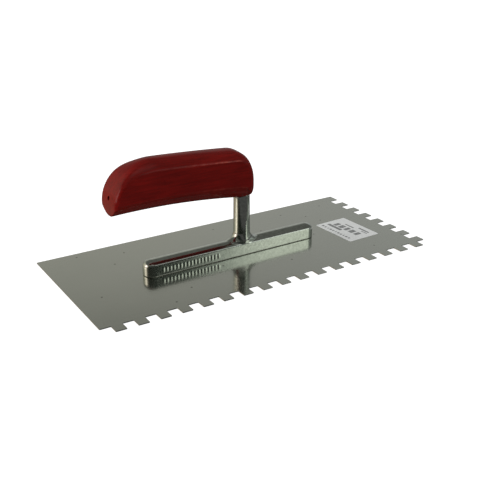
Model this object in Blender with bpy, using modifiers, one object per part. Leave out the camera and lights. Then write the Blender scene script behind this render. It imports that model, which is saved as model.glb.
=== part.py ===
"""Notched trowel: a steel blade with a comb of square teeth on one long and one short edge, a cast
foot and post riveted to it, and a lacquered wooden handle held on the post's tenon by a long steel pin.

Frame: metres, +Z up. The origin is the centre of the blade's underside, +X runs along the blade's
long side towards the notched short edge, and the notched long edge is at -Y.
"""

import math

import bmesh
import bpy
from mathutils import Matrix, Vector

MM = 0.001

# Gaps that keep neighbouring solids apart.
FIT_GAP = 0.3 * MM
REST_GAP = 0.3 * MM

# Vertices this close are one.
WELD = 0.001 * MM

# Blade: a standard 280 x 130 mm spring steel sheet with 8 mm square notches, 8 mm apart.
BLADE_LENGTH = 280 * MM
BLADE_WIDTH = 130 * MM
BLADE_THICKNESS = 0.7 * MM
NOTCH = 8 * MM
PITCH = 2 * NOTCH

# Foot: the long bar of the casting, a stadium in plan with a crowned top.
FOOT_LEFT = -81.7 * MM
FOOT_RIGHT = 68.7 * MM
FOOT_WIDTH = 14 * MM
FOOT_SIDE_HEIGHT = 9.2 * MM
FOOT_CROWN_RISE = 2.5 * MM
FOOT_END_STEPS = 32
FOOT_CROWN_SHARES = (0, 0.25, 0.5, 0.72, 0.9, 1)

# Post: the round column of the casting, with a fillet that runs out along the foot and hardly
# towards its sides.
POST_X = 2.4 * MM
POST_FOOT_RADIUS = 6.5 * MM
POST_TOP_RADIUS = 6.2 * MM
POST_TOP = 50 * MM
POST_FILLET = 7 * MM
POST_FILLET_ANGLES = (15, 30, 45, 60, 75, 90)
POST_FILLET_SIDE_SHARE = 0.05
POST_STEPS = 40

# Tenon: the post's narrower end, sunk in the handle.
TENON_X = 0
TENON_RADIUS = 3.5 * MM
TENON_ROOT = 42 * MM
TENON_TOP = 65 * MM

# Handle: the wood, by its crest and belly lines at mid-width, the bows across it, and its rounded
# ends. A line is (height at the middle, slope, bow per metre), and an end is (length, height).
HANDLE_LEFT = -105.5 * MM
HANDLE_RIGHT = 8.1 * MM
HANDLE_END_INSET = 0.1 * MM
HANDLE_HALF_WIDTH = 14 * MM
HANDLE_MIDDLE = -47.6 * MM
CREST = (87.5 * MM, -0.052, -0.4)
BELLY = (50.85 * MM, -0.062, -0.9)
CROWN_RISE = 6.2 * MM
BELLY_RISE = 10.6 * MM
BELLY_RISE_SLOPE = 0.02
RISE_SHARE = 0.45
LEFT_NOSE = (35.5 * MM, 31 * MM)
RIGHT_NOSE = (17 * MM, 22.5 * MM)
LEFT_CHIN = (1.2 * MM, 1.2 * MM)
RIGHT_CHIN = (7 * MM, 12 * MM)
LEFT_CORNER = 4.2 * MM
RIGHT_CORNER = 8.2 * MM
HANDLE_STATIONS = 34
ACROSS_POINTS = 17

# Pin: driven in from the handle's left end, lengthwise, into the tenon.
PIN_RADIUS = 1.5 * MM
PIN_LEFT = Vector((-103.6 * MM, 0, 64.5 * MM))
PIN_RIGHT = Vector((0.6 * MM, 0, 59.5 * MM))
PIN_CLEAR_PAST = 0.5 * MM
BORE_RUN_OUT = 8 * MM

# Rivets: countersunk from below, flush with the blade's underside, spread along the foot.
RIVET_COUNT = 6
RIVET_FIRST_X = -72.5 * MM
RIVET_LAST_X = 62.5 * MM
RIVET_HEAD_RADIUS = 4 * MM
RIVET_SHANK_RADIUS = 2 * MM
RIVET_SHANK_TOP = 6 * MM
RIVET_RECESS = 0.05 * MM
ROUND_STEPS = 24

# Label: a thin paper sticker, turned a little on the blade.
LABEL_CENTRE = (100.9 * MM, -7.5 * MM)
LABEL_SIZE = (30.5 * MM, 43.5 * MM)
LABEL_THICKNESS = 0.15 * MM
LABEL_TURN = math.radians(2)

# How far a cutter runs past what it cuts.
OVERCUT = 2 * MM


def clear_scene():
    for obj in list(bpy.data.objects):
        bpy.data.objects.remove(obj, do_unlink=True)


def new_collection(name):
    collection = bpy.data.collections.new(name)
    bpy.context.scene.collection.children.link(collection)
    return collection


def new_material(name, color, roughness, metallic):
    material = bpy.data.materials.new(name)
    material.use_nodes = True
    shader = material.node_tree.nodes["Principled BSDF"]
    shader.inputs["Base Color"].default_value = (*color, 1)
    shader.inputs["Roughness"].default_value = roughness
    shader.inputs["Metallic"].default_value = metallic
    return material


def new_object(name, data, collection, material=None):
    obj = bpy.data.objects.new(name, data)
    collection.objects.link(obj)
    if material:
        data.materials.append(material)
    return obj


def new_cutter(name, data, collection):
    obj = new_object(name, data, collection)
    obj.hide_render = True
    obj.display_type = "WIRE"
    return obj


def mesh_from(bm, name):
    bmesh.ops.recalc_face_normals(bm, faces=bm.faces)
    mesh = bpy.data.meshes.new(name)
    bm.to_mesh(mesh)
    bm.free()
    return mesh


def mesh_of(obj):
    """The evaluated mesh of an object as a new mesh, its caps and poles welded. The object is removed."""
    bpy.context.view_layer.update()
    graph = bpy.context.evaluated_depsgraph_get()
    mesh = bpy.data.meshes.new_from_object(obj.evaluated_get(graph))
    bm = bmesh.new()
    bm.from_mesh(mesh)
    bmesh.ops.remove_doubles(bm, verts=bm.verts, dist=WELD)
    bm.to_mesh(mesh)
    bm.free()
    bpy.data.objects.remove(obj, do_unlink=True)
    return mesh


def turned_mesh(name, profile, steps, collection):
    """A turned solid: the profile is (radius, height) from the axis at the top, outside, to the axis below."""
    bm = bmesh.new()
    points = [bm.verts.new((radius, 0, height)) for radius, height in profile]
    for start, end in zip(points, points[1:]):
        bm.edges.new((start, end))
    mesh = bpy.data.meshes.new(name)
    bm.to_mesh(mesh)
    bm.free()
    obj = new_object(name, mesh, collection)
    screw = obj.modifiers.new("turn", "SCREW")
    screw.angle = math.tau
    screw.steps = steps
    screw.render_steps = steps
    screw.use_merge_vertices = True
    screw.merge_threshold = WELD
    return mesh_of(obj)


def rod_mesh(name, start, end, radius, steps=ROUND_STEPS):
    """A plain cylinder from start to end."""
    along = end - start
    turn = along.to_track_quat("Z", "Y").to_matrix().to_4x4()
    bm = bmesh.new()
    bmesh.ops.create_cone(
        bm,
        cap_ends=True,
        segments=steps,
        radius1=radius,
        radius2=radius,
        depth=along.length,
        matrix=Matrix.Translation((start + end) / 2) @ turn,
    )
    return mesh_from(bm, name)


def box_mesh(name, size, centre=(0, 0, 0)):
    bm = bmesh.new()
    bmesh.ops.create_cube(bm, size=1)
    bmesh.ops.scale(bm, vec=size, verts=bm.verts)
    bmesh.ops.translate(bm, vec=centre, verts=bm.verts)
    return mesh_from(bm, name)


def add_boolean(obj, operation, other):
    modifier = obj.modifiers.new(f"{operation.lower()} {other.name}", "BOOLEAN")
    modifier.operation = operation
    modifier.solver = "EXACT"
    modifier.object = other


def smooth(obj, angle=35):
    obj.data.shade_smooth()
    obj.data.set_sharp_from_angle(angle=math.radians(angle))


def rivet_places():
    step = (RIVET_LAST_X - RIVET_FIRST_X) / (RIVET_COUNT - 1)
    return [RIVET_FIRST_X + step * number for number in range(RIVET_COUNT)]


# Blade


def notch_places():
    """(x, y) of the front left corner of every square notch, the shared front right corner included."""
    left = -BLADE_LENGTH / 2
    right = BLADE_LENGTH / 2
    front = -BLADE_WIDTH / 2
    long_edge = [(left + PITCH * number, front) for number in range(math.ceil(BLADE_LENGTH / PITCH))]
    short_edge = [(right - NOTCH, front + PITCH * number) for number in range(1, int(BLADE_WIDTH // PITCH))]
    return long_edge + short_edge


def notch_cutter_mesh():
    """One box for each notch, run out past the blade's edge."""
    bm = bmesh.new()
    for x, y in notch_places():
        low = Vector((x, y, -OVERCUT))
        high = Vector((x + NOTCH, y + NOTCH, BLADE_THICKNESS + OVERCUT))
        if y < NOTCH - BLADE_WIDTH / 2:
            low.y -= OVERCUT
        if x < NOTCH - BLADE_LENGTH / 2:
            low.x -= OVERCUT
        if x > BLADE_LENGTH / 2 - 1.5 * NOTCH:
            high.x += OVERCUT
        size = high - low
        place = Matrix.Translation((low + high) / 2) @ Matrix.Diagonal((*size, 1))
        bmesh.ops.create_cube(bm, size=1, matrix=place)
    return mesh_from(bm, "notches")


def countersink_mesh(name, x, collection):
    """The blade's rivet hole: a cone that opens to the head's width at the underside."""
    wide = RIVET_HEAD_RADIUS + FIT_GAP
    narrow = RIVET_SHANK_RADIUS + FIT_GAP
    profile = [
        (0, BLADE_THICKNESS + OVERCUT),
        (narrow, BLADE_THICKNESS + OVERCUT),
        (narrow, BLADE_THICKNESS),
        (wide, 0),
        (wide, -OVERCUT),
        (0, -OVERCUT),
    ]
    mesh = turned_mesh(name, profile, ROUND_STEPS, collection)
    mesh.transform(Matrix.Translation((x, 0, 0)))
    return mesh


def make_blade(parts, cutters, steel):
    size = (BLADE_LENGTH, BLADE_WIDTH, BLADE_THICKNESS)
    blade = new_object("blade", box_mesh("blade", size, (0, 0, BLADE_THICKNESS / 2)), parts, steel)
    add_boolean(blade, "DIFFERENCE", new_cutter("notches", notch_cutter_mesh(), cutters))
    for number, x in enumerate(rivet_places(), 1):
        name = f"blade_hole_{number}"
        add_boolean(blade, "DIFFERENCE", new_cutter(name, countersink_mesh(name, x, cutters), cutters))
    return blade


# Casting: foot, post and tenon in one piece


def foot_profile():
    """Half of the foot's cross-section: crown arc from the middle out, then down the side and back in."""
    half = FOOT_WIDTH / 2
    radius = (half**2 + FOOT_CROWN_RISE**2) / (2 * FOOT_CROWN_RISE)
    top = FOOT_SIDE_HEIGHT + FOOT_CROWN_RISE
    arc = []
    for share in FOOT_CROWN_SHARES:
        y = half * share
        arc.append((y, top - radius + math.sqrt(radius**2 - y**2)))
    return [*arc, (half, 0), (0, 0)]


def make_foot_mesh(collection):
    """A turned button cut open at its middle and drawn out along X, so both ends stay round."""
    half = FOOT_WIDTH / 2
    mesh = turned_mesh("foot", foot_profile(), FOOT_END_STEPS, collection)
    mesh.transform(Matrix.Rotation(math.pi / FOOT_END_STEPS, 4, "Z"))
    bm = bmesh.new()
    bm.from_mesh(mesh)
    middle = (FOOT_LEFT + FOOT_RIGHT) / 2
    draw = (FOOT_RIGHT - FOOT_LEFT) / 2 - half
    cut = bmesh.ops.bisect_plane(
        bm, geom=bm.verts[:] + bm.edges[:] + bm.faces[:], plane_co=(0, 0, 0), plane_no=(1, 0, 0)
    )
    edges = [item for item in cut["geom_cut"] if isinstance(item, bmesh.types.BMEdge)]
    bmesh.ops.split_edges(bm, edges=edges)
    for vert in bm.verts:
        side = sum(face.calc_center_median().x for face in vert.link_faces)
        vert.co.x += math.copysign(draw, side) + middle
    borders = [edge for edge in bm.edges if edge.is_boundary]
    bmesh.ops.bridge_loops(bm, edges=borders)
    bmesh.ops.translate(bm, vec=(0, 0, BLADE_THICKNESS + REST_GAP), verts=bm.verts)
    bpy.data.meshes.remove(mesh)
    return mesh_from(bm, "mounting")


def post_profile():
    """The post from its flat top down to the fillet, which runs out onto the foot's crown."""
    crown = BLADE_THICKNESS + FOOT_SIDE_HEIGHT + FOOT_CROWN_RISE
    start = crown + POST_FILLET
    rim = POST_FOOT_RADIUS + POST_FILLET
    fillet = []
    for angle in map(math.radians, POST_FILLET_ANGLES):
        fillet.append((rim - POST_FILLET * math.cos(angle), start - POST_FILLET * math.sin(angle)))
    root = BLADE_THICKNESS + FOOT_SIDE_HEIGHT / 2
    return [
        (0, BLADE_THICKNESS + POST_TOP),
        (POST_TOP_RADIUS, BLADE_THICKNESS + POST_TOP),
        (POST_FOOT_RADIUS, start),
        *fillet,
        (rim, root),
        (0, root),
    ]


def make_post(cutters):
    """The post: turned, its fillet pressed in towards the foot's sides, its top shaped to the wood."""
    mesh = turned_mesh("post_blank", post_profile(), POST_STEPS, cutters)
    for vert in mesh.vertices:
        radius = math.hypot(vert.co.x, vert.co.y)
        spread = radius - POST_FOOT_RADIUS
        if spread > 0:
            vert.co.y *= (POST_FOOT_RADIUS + spread * POST_FILLET_SIDE_SHARE) / radius
    post = new_cutter("post_blank", mesh, cutters)
    post.location.x = POST_X
    add_boolean(post, "DIFFERENCE", new_cutter("post_seat", handle_mesh("post_seat", FIT_GAP), cutters))
    return post


def make_mounting(parts, cutters, alloy):
    mounting = new_object("mounting", make_foot_mesh(parts), parts, alloy)
    add_boolean(mounting, "UNION", make_post(cutters))

    low = Vector((TENON_X, 0, BLADE_THICKNESS + TENON_ROOT))
    high = Vector((TENON_X, 0, BLADE_THICKNESS + TENON_TOP))
    tenon = new_cutter("tenon", rod_mesh("tenon", low, high, TENON_RADIUS), cutters)
    add_boolean(mounting, "UNION", tenon)

    add_boolean(mounting, "DIFFERENCE", bpy.data.objects["pin_bore"])
    for number, x in enumerate(rivet_places(), 1):
        name = f"foot_hole_{number}"
        top = Vector((x, 0, BLADE_THICKNESS + RIVET_SHANK_TOP + FIT_GAP))
        mesh = rod_mesh(name, Vector((x, 0, 0)), top, RIVET_SHANK_RADIUS + FIT_GAP)
        add_boolean(mounting, "DIFFERENCE", new_cutter(name, mesh, cutters))
    return mounting


# Handle


def ease(distance, length, drop):
    """How far an elliptical end, length by drop, has fallen at a distance inside the end."""
    share = min(max(1 - distance / length, 0), 1)
    return drop * (1 - math.sqrt(max(1 - share**2, 0)))


def bowed(line, x):
    """The height of a bowed line at x."""
    height, slope, bow = line
    offset = x - HANDLE_MIDDLE
    return height + slope * offset + bow * offset**2


def across(half):
    """Evenly spaced y from the front edge of the wood to the back one."""
    return [half * (2 * number / (ACROSS_POINTS - 1) - 1) for number in range(ACROSS_POINTS)]


def section_points(x):
    """The closed outline of the wood at x: belly, back to front, upright sides and crowned top.

    The belly is a parabola, which meets the sides in a crease. The crown is a flat arc.
    """
    from_left = x - HANDLE_LEFT
    from_right = HANDLE_RIGHT - x
    crest = bowed(CREST, x) - ease(from_left, *LEFT_NOSE) - ease(from_right, *RIGHT_NOSE)
    belly = bowed(BELLY, x) + ease(from_left, *LEFT_CHIN) + ease(from_right, *RIGHT_CHIN)
    half = HANDLE_HALF_WIDTH
    half -= ease(from_left, LEFT_CORNER, LEFT_CORNER) + ease(from_right, RIGHT_CORNER, RIGHT_CORNER)
    narrow = half / HANDLE_HALF_WIDTH
    most = RISE_SHARE * (crest - belly)
    below = min((BELLY_RISE + BELLY_RISE_SLOPE * (x - HANDLE_MIDDLE)) * narrow, most)
    above = min(CROWN_RISE * narrow, most)
    radius = (half**2 + above**2) / (2 * above)
    belly_points = [(y, belly + below * (y / half) ** 2) for y in reversed(across(half))]
    crown_points = [(y, crest - radius + math.sqrt(radius**2 - y**2)) for y in across(half)]
    return belly_points + crown_points


def handle_mesh(name, grow=0.0):
    """The wood as a loft of sections along X. grow moves the whole skin outwards."""
    left = HANDLE_LEFT + HANDLE_END_INSET
    right = HANDLE_RIGHT - HANDLE_END_INSET
    bm = bmesh.new()
    rings = []
    for number in range(HANDLE_STATIONS):
        share = (1 - math.cos(math.pi * number / (HANDLE_STATIONS - 1))) / 2
        x = left + (right - left) * share
        rings.append([bm.verts.new((x, y, BLADE_THICKNESS + z)) for y, z in section_points(x)])
    for ring, following in zip(rings, rings[1:]):
        for index, vert in enumerate(ring):
            after = (index + 1) % len(ring)
            bm.faces.new((vert, following[index], following[after], ring[after]))
    bm.faces.new(rings[0])
    bm.faces.new(rings[-1])
    bmesh.ops.recalc_face_normals(bm, faces=bm.faces)
    if grow:
        bm.normal_update()
        for vert in bm.verts:
            vert.co += vert.normal * grow
    return mesh_from(bm, name)


def make_pin_bore(cutters):
    """The pin's hole, through the wood's left end and into the tenon."""
    along = (PIN_RIGHT - PIN_LEFT).normalized()
    lift = Vector((0, 0, BLADE_THICKNESS))
    start = PIN_LEFT + lift - along * BORE_RUN_OUT
    end = PIN_RIGHT + lift + along * PIN_CLEAR_PAST
    return new_cutter("pin_bore", rod_mesh("pin_bore", start, end, PIN_RADIUS + FIT_GAP), cutters)


def make_handle(parts, cutters, wood):
    handle = new_object("handle", handle_mesh("handle"), parts, wood)
    low = Vector((TENON_X, 0, BLADE_THICKNESS + TENON_ROOT - OVERCUT))
    high = Vector((TENON_X, 0, BLADE_THICKNESS + TENON_TOP + FIT_GAP))
    mesh = rod_mesh("tenon_socket", low, high, TENON_RADIUS + FIT_GAP)
    add_boolean(handle, "DIFFERENCE", new_cutter("tenon_socket", mesh, cutters))
    add_boolean(handle, "DIFFERENCE", bpy.data.objects["pin_bore"])
    return handle


def make_pin(parts, steel):
    lift = Vector((0, 0, BLADE_THICKNESS))
    mesh = rod_mesh("handle_pin", PIN_LEFT + lift, PIN_RIGHT + lift, PIN_RADIUS)
    return new_object("handle_pin", mesh, parts, steel)


# Fasteners and label


def make_rivets(parts, steel):
    """Countersunk rivets: a cone head that fills the blade's hole, and a shank up into the foot."""
    spread = (RIVET_HEAD_RADIUS - RIVET_SHANK_RADIUS) / BLADE_THICKNESS
    head_radius = RIVET_HEAD_RADIUS - spread * RIVET_RECESS
    profile = [
        (0, BLADE_THICKNESS + RIVET_SHANK_TOP),
        (RIVET_SHANK_RADIUS, BLADE_THICKNESS + RIVET_SHANK_TOP),
        (RIVET_SHANK_RADIUS, BLADE_THICKNESS),
        (head_radius, RIVET_RECESS),
        (0, RIVET_RECESS),
    ]
    mesh = turned_mesh("rivet", profile, ROUND_STEPS, parts)
    for number, x in enumerate(rivet_places(), 1):
        rivet = new_object(f"blade_rivet_{number}", mesh, parts)
        rivet.location.x = x
    mesh.materials.append(steel)


def make_label(parts, paper):
    label = new_object("label", box_mesh("label", (*LABEL_SIZE, LABEL_THICKNESS)), parts, paper)
    label.location = (*LABEL_CENTRE, BLADE_THICKNESS + REST_GAP + LABEL_THICKNESS / 2)
    label.rotation_euler.z = LABEL_TURN
    return label


def main():
    clear_scene()
    parts = new_collection("notched_trowel")
    cutters = new_collection("cutters")

    blade_steel = new_material("blade_steel", (0.22, 0.22, 0.21), 0.3, 1)
    cast_alloy = new_material("cast_alloy", (0.32, 0.34, 0.32), 0.35, 1)
    rivet_steel = new_material("rivet_steel", (0.4, 0.4, 0.39), 0.35, 1)
    red_wood = new_material("red_wood", (0.11, 0.008, 0.008), 0.3, 0)
    label_paper = new_material("label_paper", (0.6, 0.6, 0.58), 0.6, 0)

    make_pin_bore(cutters)
    smooth(make_blade(parts, cutters, blade_steel))
    smooth(make_mounting(parts, cutters, cast_alloy))
    smooth(make_handle(parts, cutters, red_wood))
    smooth(make_pin(parts, rivet_steel))
    make_rivets(parts, rivet_steel)
    make_label(parts, label_paper)


main()
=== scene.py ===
"""Notched trowel: a steel blade with square teeth, a cast foot and post, and a lacquered wooden handle.

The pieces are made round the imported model, in its frame: metres, +Z up, the blade's underside at Z 0,
+X towards the notched short edge and -Y towards the notched long edge.
"""

import math

import bmesh
import bpy
from mathutils import Matrix, Vector


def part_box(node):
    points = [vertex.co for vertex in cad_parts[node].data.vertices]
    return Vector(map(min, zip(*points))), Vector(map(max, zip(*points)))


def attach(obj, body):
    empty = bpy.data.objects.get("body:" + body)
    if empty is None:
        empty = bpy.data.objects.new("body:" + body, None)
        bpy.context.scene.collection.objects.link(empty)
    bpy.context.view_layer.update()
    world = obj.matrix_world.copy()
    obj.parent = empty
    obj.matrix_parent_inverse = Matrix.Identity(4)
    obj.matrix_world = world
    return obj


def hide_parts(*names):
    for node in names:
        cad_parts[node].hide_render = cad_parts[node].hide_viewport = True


bl_info = {
    "name": "Notched Trowel",
    "version": (1, 0, 0),
    "blender": (4, 5, 0),
    "location": "View3D > Sidebar > Trowel",
    "description": "Builds a notched trowel's blade, casting, handle, fasteners and label",
    "category": "Add Mesh",
}

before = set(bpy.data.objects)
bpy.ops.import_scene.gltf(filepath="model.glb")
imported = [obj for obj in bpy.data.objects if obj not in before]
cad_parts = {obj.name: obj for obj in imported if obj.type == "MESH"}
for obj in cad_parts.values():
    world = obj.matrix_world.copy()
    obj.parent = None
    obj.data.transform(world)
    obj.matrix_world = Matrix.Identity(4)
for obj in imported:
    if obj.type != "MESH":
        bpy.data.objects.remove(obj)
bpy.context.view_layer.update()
BODY = "root"
MM = 0.001

# The blade, from its CAD node: square notches of one size, one size apart.
BLADE_LOW, BLADE_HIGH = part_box("blade")
BLADE_TOP = BLADE_HIGH.z
BLADE_EDGE_ANGLE = math.radians(60)
BLADE_EDGE_STEPS = 2
NOTCH = 8 * MM
NOTCH_CORNER_STEPS = 3
# Neighbouring squares of the sheet that meet at less than this, in radians, become one face.
FLAT_ANGLE = 0.01

# The foot. Heights are above the blade's top face. The levels of its mesh go from the ridge over the
# crown, then round the corner, then to the bottom.
FOOT_LEFT = -81.7 * MM
FOOT_RIGHT = 68.7 * MM
FOOT_HALF = 7 * MM
FOOT_SIDE = 9.2 * MM
FOOT_CROWN = 2.5 * MM
FOOT_TOP_CORNER = 0.7 * MM
FOOT_END_CORNER = 5.2 * MM
FOOT_LIFT = 0.05 * MM
FOOT_MIDDLE = (FOOT_LEFT + FOOT_RIGHT) / 2
FOOT_DRAW = (FOOT_RIGHT - FOOT_LEFT) / 2 - FOOT_HALF
CROWN_RADIUS = (FOOT_HALF**2 + FOOT_CROWN**2) / (2 * FOOT_CROWN)
CROWN_HEART = FOOT_SIDE + FOOT_CROWN - CROWN_RADIUS
RIDGE_SHARE = 0.06
CROWN_LEVELS = 8
CORNER_LEVELS = 6
FOOT_END_STEPS = 24

# The plain bars on the foot's front face, their places measured from the foot's left end.
MARK_COUNT = 17
MARK_START = 13 * MM
MARK_PITCH = 2.9 * MM
MARK_WIDTH = 0.9 * MM
MARK_HEIGHT = 3.2 * MM
MARK_LEVEL = 0.48 * FOOT_SIDE

# The post and its tenon. The fillet keeps only a small share of its reach towards the foot's sides. The
# roots are how far below the post's top the tenon and the cutter of its socket start.
POST_X = 2.4 * MM
POST_FOOT_RADIUS = 6.5 * MM
POST_TOP_RADIUS = 6.2 * MM
POST_TOP = 50 * MM
POST_STEPS = 64
POST_FILLET = 7 * MM
POST_FILLET_STEPS = 10
POST_FILLET_SIDE_SHARE = 0.05
TENON_X = 0
TENON_RADIUS = 3.5 * MM
TENON_TOP = 65 * MM
TENON_ROOT = 8 * MM
SOCKET_ROOT = 12 * MM
SOCKET_GAP = 0.3 * MM

# The handle, above the blade's top face. The rim is its outline at mid-width, and the cheek the
# smaller outline of its flat sides. Crest and belly are (height at the middle, slope, bow per metre),
# and noses and chins, the elliptical ends of each, are (length, height). The cheek's lower edge lies
# above the belly by the belly's rise, which is given at one X and has a slope.
HANDLE_LEFT = -105.5 * MM
HANDLE_RIGHT = 8.1 * MM
HANDLE_HALF = 14 * MM
HANDLE_MIDDLE = -47.6 * MM
CREST = (87.5 * MM, -0.052, -0.4)
BELLY = (50.85 * MM, -0.062, -0.9)
CROWN_RISE = 6.2 * MM
BELLY_RISE = 10.4 * MM
BELLY_RISE_SLOPE = 0.02
BELLY_RISE_X = -60 * MM
LEFT_NOSE = (35.5 * MM, 31 * MM)
CHEEK_NOSE_LIFT = 4.5 * MM
RIGHT_NOSE = (17 * MM, 22.5 * MM)
LEFT_CHIN = (1.2 * MM, 1.2 * MM)
RIGHT_CHIN = (7 * MM, 12 * MM)
CHEEK_CHIN = (RIGHT_CHIN[0] / 2, RIGHT_CHIN[1] / 6)
LEFT_CORNER = 4.2 * MM
RIGHT_CORNER = 8.2 * MM

# Where the creases fade in from the ends, as (start, end): the crown's left fade is measured from the
# left end, and the two right fades run towards -X from X 0.
CROWN_FADE_LEFT = (5 * MM, 29 * MM)
CROWN_FADE_RIGHT = (-5 * MM, 8 * MM)
BELLY_FADE_RIGHT = (-7.5 * MM, -2.5 * MM)

# The lacquer wears pale along the creases, and the same pale colour is a painted highlight on them: least
# at the left, and less under the belly.
WEAR_AND_HIGHLIGHT_FADE = (-62 * MM, -12 * MM)
LEAST_WEAR_AND_HIGHLIGHT = 0.1
BELLY_WEAR_AND_HIGHLIGHT = 0.3

# The handle's mesh: loops from mid-width to a cheek, the last few round its crease. The shares are
# along the section, of where a round corner starts and where the crease's rounding starts.
CREST_STEPS = 96
BELLY_STEPS = 56
HANDLE_LEVELS = 16
CREASE_LEVELS = 4
CORNER_START = 0.4
CREASE_START = 0.93
CHEEK_INSET = 0.5 * MM

# The pin's axis, from its head in the handle's left end to its tip in the tenon. The head's rounding is
# the two heights between which it widens from its face to the pin's radius.
PIN_HEAD = Vector((-103.6 * MM, 0, BLADE_TOP + 64.5 * MM))
PIN_TIP = Vector((0.6 * MM, 0, BLADE_TOP + 59.5 * MM))
PIN_STEPS = 32
PIN_RADIUS = 1.5 * MM
PIN_HEAD_FACE = 1.4 * MM
PIN_HEAD_ROUND = (0.1 * MM, 0.6 * MM)
PIN_POINT_RADIUS = 1 * MM
PIN_POINT = 1.2 * MM
PIN_BORE_RADIUS = 1.6 * MM
PIN_BORE_RUN_OUT = 9 * MM
PIN_BORE_PAST_TIP = 0.5 * MM

# The rivets, and their holes in the blade and the casting. The head's edge is (width, height).
RIVETS = [f"blade_rivet_{number}" for number in range(1, 7)]
RIVET_STEPS = 48
RIVET_RADIUS = 2 * MM
RIVET_TIP_RADIUS = 1.6 * MM
RIVET_TIP = 0.4 * MM
RIVET_HEAD_EDGE = (0.1 * MM, 0.05 * MM)
BLADE_HOLE_RADIUS = 2.2 * MM
CASTING_HOLE_RADIUS = 2.4 * MM
COUNTERSINK_GAP = 0.15 * MM

# The round cutters and the tenon, which are plain rods.
ROD_STEPS = 32

LABEL_LIFT = 0.02 * MM
LABEL_CORNER_STEPS = 4


def colour(code):
    """A linear colour from an sRGB hex code."""
    shares = [int(code[place : place + 2], 16) / 255 for place in (0, 2, 4)]
    return tuple(part / 12.92 if part <= 0.04045 else ((part + 0.055) / 1.055) ** 2.4 for part in shares)


# Meshes


def new_object(name, bm):
    """A mesh object from a bmesh, its normals pointing outwards."""
    bmesh.ops.recalc_face_normals(bm, faces=bm.faces)
    if bm.calc_volume(signed=True) < 0:
        bmesh.ops.reverse_faces(bm, faces=bm.faces)
    mesh = bpy.data.meshes.new(name)
    bm.to_mesh(mesh)
    bm.free()
    obj = bpy.data.objects.new(name, mesh)
    bpy.context.scene.collection.objects.link(obj)
    return obj


def settle(obj):
    """Makes the object's modifiers part of its mesh."""
    bpy.context.view_layer.update()
    graph = bpy.context.evaluated_depsgraph_get()
    mesh = bpy.data.meshes.new_from_object(obj.evaluated_get(graph))
    old = obj.data
    obj.modifiers.clear()
    obj.data = mesh
    bpy.data.meshes.remove(old)
    mesh.name = obj.name


def combine(obj, operation, other, keep=False):
    """Joins another solid to the object or cuts it out of it."""
    boolean = obj.modifiers.new("combine", "BOOLEAN")
    boolean.operation = operation
    boolean.solver = "EXACT"
    boolean.object = other
    settle(obj)
    if not keep:
        bpy.data.objects.remove(other, do_unlink=True)


def turned(profile, steps):
    """A bmesh turned about Z from a profile of (radius, height), the first and last on the axis."""
    bm = bmesh.new()
    verts = [bm.verts.new((radius, 0, height)) for radius, height in profile]
    edges = [bm.edges.new(pair) for pair in zip(verts, verts[1:])]
    bmesh.ops.spin(
        bm, geom=verts + edges, cent=(0, 0, 0), axis=(0, 0, 1), angle=math.tau, steps=steps, use_merge=True
    )
    bmesh.ops.remove_doubles(bm, verts=bm.verts, dist=0.001 * MM)
    return bm


def rod(name, start, end, radius):
    """A cylinder from start to end."""
    along = end - start
    place = Matrix.Translation((start + end) / 2) @ along.to_track_quat("Z", "Y").to_matrix().to_4x4()
    bm = bmesh.new()
    bmesh.ops.create_cone(
        bm, cap_ends=True, segments=ROD_STEPS, radius1=radius, radius2=radius, depth=along.length,
        matrix=place,
    )
    return new_object(name, bm)


def add_ring(bm, points):
    """Adds a closed loop through the points, and gives its vertices and its edges."""
    ring = bmesh.ops.create_circle(bm, segments=len(points), radius=1)["verts"]
    for vert, point in zip(ring, points):
        vert.co = point
    loop = list({edge for vert in ring for edge in vert.link_edges})
    return ring, loop


def thicken(bm, height):
    """Gives the flat faces a thickness: a copy of them is moved by the height, with walls between."""
    sheet = bmesh.ops.extrude_face_region(bm, geom=bm.faces[:])["geom"]
    moved = [item for item in sheet if isinstance(item, bmesh.types.BMVert)]
    bmesh.ops.translate(bm, verts=moved, vec=(0, 0, height))


def round_corners(bm, radius, steps):
    """Rounds the corners of a flat outline."""
    bmesh.ops.bevel(
        bm, geom=bm.verts[:], affect="VERTICES", offset=radius, segments=steps, profile=0.5, material=-1
    )


def shade_smooth(obj, degrees):
    """Shades the object smooth, but for its edges that turn by more than the angle in degrees."""
    obj.data.shade_smooth()
    obj.data.set_sharp_from_angle(angle=math.radians(degrees))


def finish_piece(obj, slot, material, *nodes):
    """Gives a finished piece its material, hides the CAD nodes it stands for and attaches it to its body.
    """
    obj.data.materials.clear()
    obj.data.materials.append(material)
    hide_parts(*nodes)
    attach(obj, BODY)


# Materials

SPECK_COLOUR = "3A3026"
PORE_COLOUR = "2A0606"


def add(tree, kind, inputs=None, out=0, stops=None, **settings):
    """Adds a node with its own settings and gives the output asked for.

    Inputs are values or sockets to link. Stops are a colour ramp's: (position, colour) for each.
    """
    made = tree.nodes.new("ShaderNode" + kind)
    for name, value in settings.items():
        setattr(made, name, value)
    for place, value in (inputs or {}).items():
        if isinstance(value, bpy.types.NodeSocket):
            tree.links.new(value, made.inputs[place])
        else:
            made.inputs[place].default_value = value
    if stops:
        elements = made.color_ramp.elements
        while len(elements) < len(stops):
            elements.new(0.5)
        for element, (position, shade) in zip(elements, stops):
            element.position = position
            element.color = (*shade, 1)
    return made.outputs[out]


def new_material(name, **sockets):
    """A material with one Principled shader: the material, its tree and the shader."""
    material = bpy.data.materials.new(name)
    material.use_nodes = True
    shader = material.node_tree.nodes["Principled BSDF"]
    for socket, value in sockets.items():
        shader.inputs[socket.replace("_", " ")].default_value = value
    return material, material.node_tree, shader


def connect(tree, shader, **sockets):
    """Links an output to each of the shader's sockets named."""
    for socket, value in sockets.items():
        tree.links.new(value, shader.inputs[socket.replace("_", " ")])


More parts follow.
